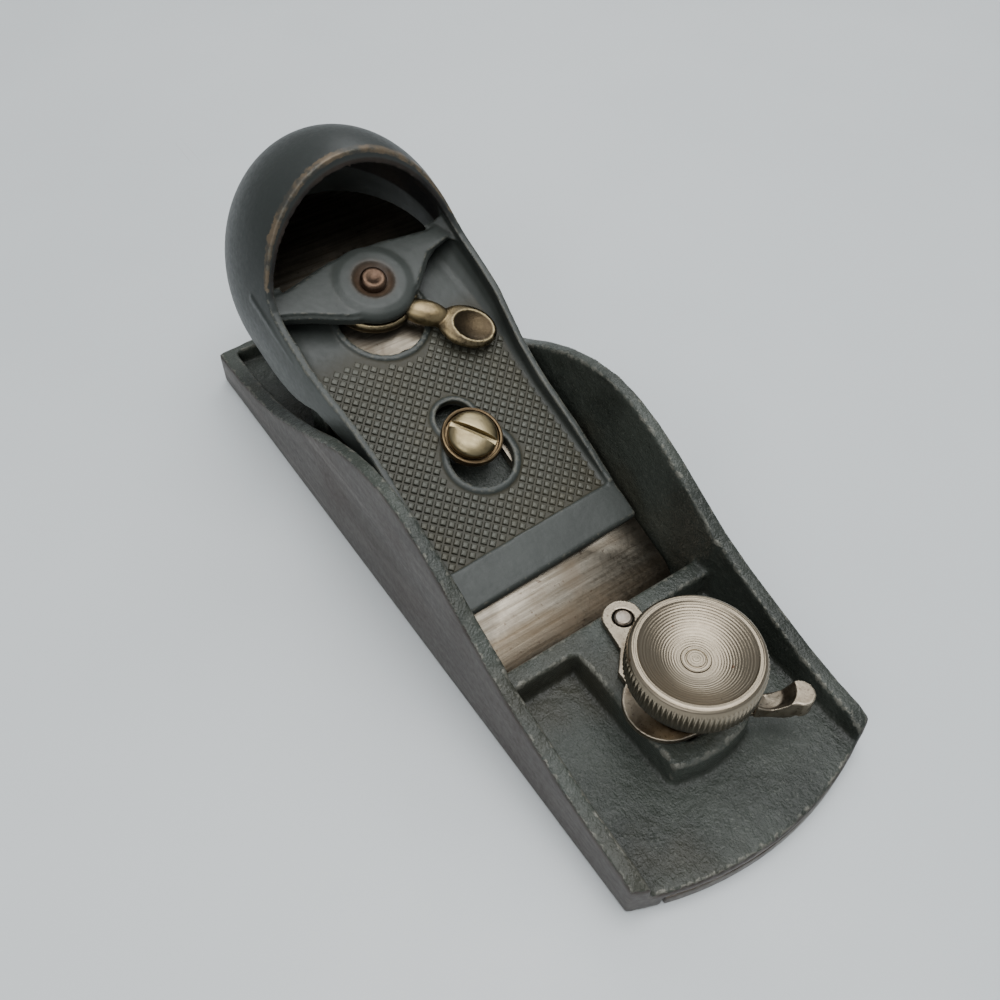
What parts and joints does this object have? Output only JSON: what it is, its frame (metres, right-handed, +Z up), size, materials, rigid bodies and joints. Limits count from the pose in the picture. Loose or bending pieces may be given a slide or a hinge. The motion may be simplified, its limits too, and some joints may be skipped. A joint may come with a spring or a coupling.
{
  "type": "hand plane",
  "caption": "Adjustable-mouth block plane with a hooded lever cap, low-angle blade, finger knob and blade adjusters, resting on its sole.",
  "frame": {"origin": "middle of the sole, halfway between toe and heel of the body casting", "axes": "+X towards the toe, +Y towards the plane's left side, +Z up from the sole"},
  "size_m": [0.155, 0.0512, 0.0622],
  "materials": {
    "casting": "dark green-black enamel, worn at the edges",
    "cap_enamel": "grey-green enamel, soft gloss",
    "ground_iron": "ground bare iron",
    "nickel": "worn nickel plate with turning marks",
    "aged_brass": "tarnished brass",
    "tool_steel": "ground steel with brown patina",
    "browned_steel": "browned steel"
  },
  "bodies": {
    "plane_body": {"body": "casting", "eccentric_pin": "tool_steel", "crank_pin": "tool_steel", "side_rivet": "tool_steel"},
    "mouth_plate": {"mouth_plate": "ground_iron"},
    "knob_stud": {"knob_stud": "nickel"},
    "front_knob": {"front_knob": "nickel"},
    "eccentric_lever": {"eccentric_lever": "nickel"},
    "blade": {"blade": "tool_steel"},
    "lever_cap": {"lever_cap": "cap_enamel", "cam_rivet": "browned_steel"},
    "cam_lever": {"cam_lever": "aged_brass"},
    "cap_screw_ring": {"cap_screw_ring": "browned_steel"},
    "cap_screw": {"cap_screw": "aged_brass"},
    "depth_stud": {"depth_stud": "tool_steel"},
    "depth_nut": {"depth_nut": "aged_brass"},
    "depth_crank": {"depth_crank": "tool_steel"},
    "side_lever": {"side_lever": "tool_steel", "slot_roller": "tool_steel"}
  },
  "joints": [
    {"name": "eccentric_swing", "type": "hinge", "parent": "plane_body", "child": "eccentric_lever", "pos_m": [0.0336, 0.0023, 0.0115], "axis": [0, 0, 1], "range_deg": [-14, 6]},
    {"name": "mouth_plate_slide", "type": "slide", "parent": "plane_body", "child": "mouth_plate", "axis": [1, 0, 0], "range_m": [-0.00072, 0.00168]},
    {"name": "knob_stud_lift", "type": "slide", "parent": "mouth_plate", "child": "knob_stud", "axis": [0, 0, 1], "range_m": [0, 0.0008]},
    {"name": "front_knob_turn", "type": "hinge", "parent": "knob_stud", "child": "front_knob", "pos_m": [0.052, 0, 0.024], "axis": [0, 0, 1], "range_deg": [0, 361]},
    {"name": "cap_slide", "type": "slide", "parent": "plane_body", "child": "lever_cap", "axis": [-0.933, -0.0349, 0.3581], "range_m": [-0.0008, 0.0039]},
    {"name": "cam_swing", "type": "hinge", "parent": "lever_cap", "child": "cam_lever", "pos_m": [-0.04385, -0.00126, 0.0342], "axis": [0.3584, 0, 0.9336], "range_deg": [-80, 4]},
    {"name": "cap_screw_lift", "type": "slide", "parent": "plane_body", "child": "cap_screw_ring", "axis": [0.3584, 0, 0.9336], "range_m": [0, 0.001]},
    {"name": "cap_screw_turn", "type": "hinge", "parent": "cap_screw_ring", "child": "cap_screw", "pos_m": [-0.01017, 0, 0.02127], "axis": [0.3584, 0, 0.9336], "range_deg": [0, 361]},
    {"name": "depth_stud_travel", "type": "slide", "parent": "plane_body", "child": "depth_stud", "axis": [0, 0, 1], "range_m": [-0.001, 0.001]},
    {"name": "depth_nut_turn", "type": "hinge", "parent": "depth_stud", "child": "depth_nut", "pos_m": [-0.064, 0, 0.0145], "axis": [0, 0, 1], "range_deg": [-361, 361]},
    {"name": "depth_crank_rock", "type": "hinge", "parent": "plane_body", "child": "depth_crank", "pos_m": [-0.044, 0, 0.014], "axis": [0, 1, 0], "range_deg": [-2.9, 2.9]},
    {"name": "blade_feed", "type": "slide", "parent": "plane_body", "child": "blade", "axis": [0.9334, 0.0209, -0.3583], "range_m": [-0.00066, 0.00066]},
    {"name": "side_lever_swing", "type": "hinge", "parent": "plane_body", "child": "side_lever", "pos_m": [-0.03697, 0, 0.02374], "axis": [0.3584, 0, 0.9336], "range_deg": [-5, 5]}
  ],
  "couplings": [
    {"joint": "eccentric_swing", "follows": "mouth_plate_slide", "rad_per_m": -145.44},
    {"joint": "front_knob_turn", "follows": "knob_stud_lift", "rad_per_m": 7854},
    {"joint": "cap_screw_turn", "follows": "cap_screw_lift", "rad_per_m": 6283.2},
    {"joint": "depth_nut_turn", "follows": "depth_stud_travel", "rad_per_m": 6283.2},
    {"joint": "depth_crank_rock", "follows": "depth_stud_travel", "rad_per_m": 50},
    {"joint": "blade_feed", "follows": "depth_stud_travel", "ratio": 0.65}
  ]
}
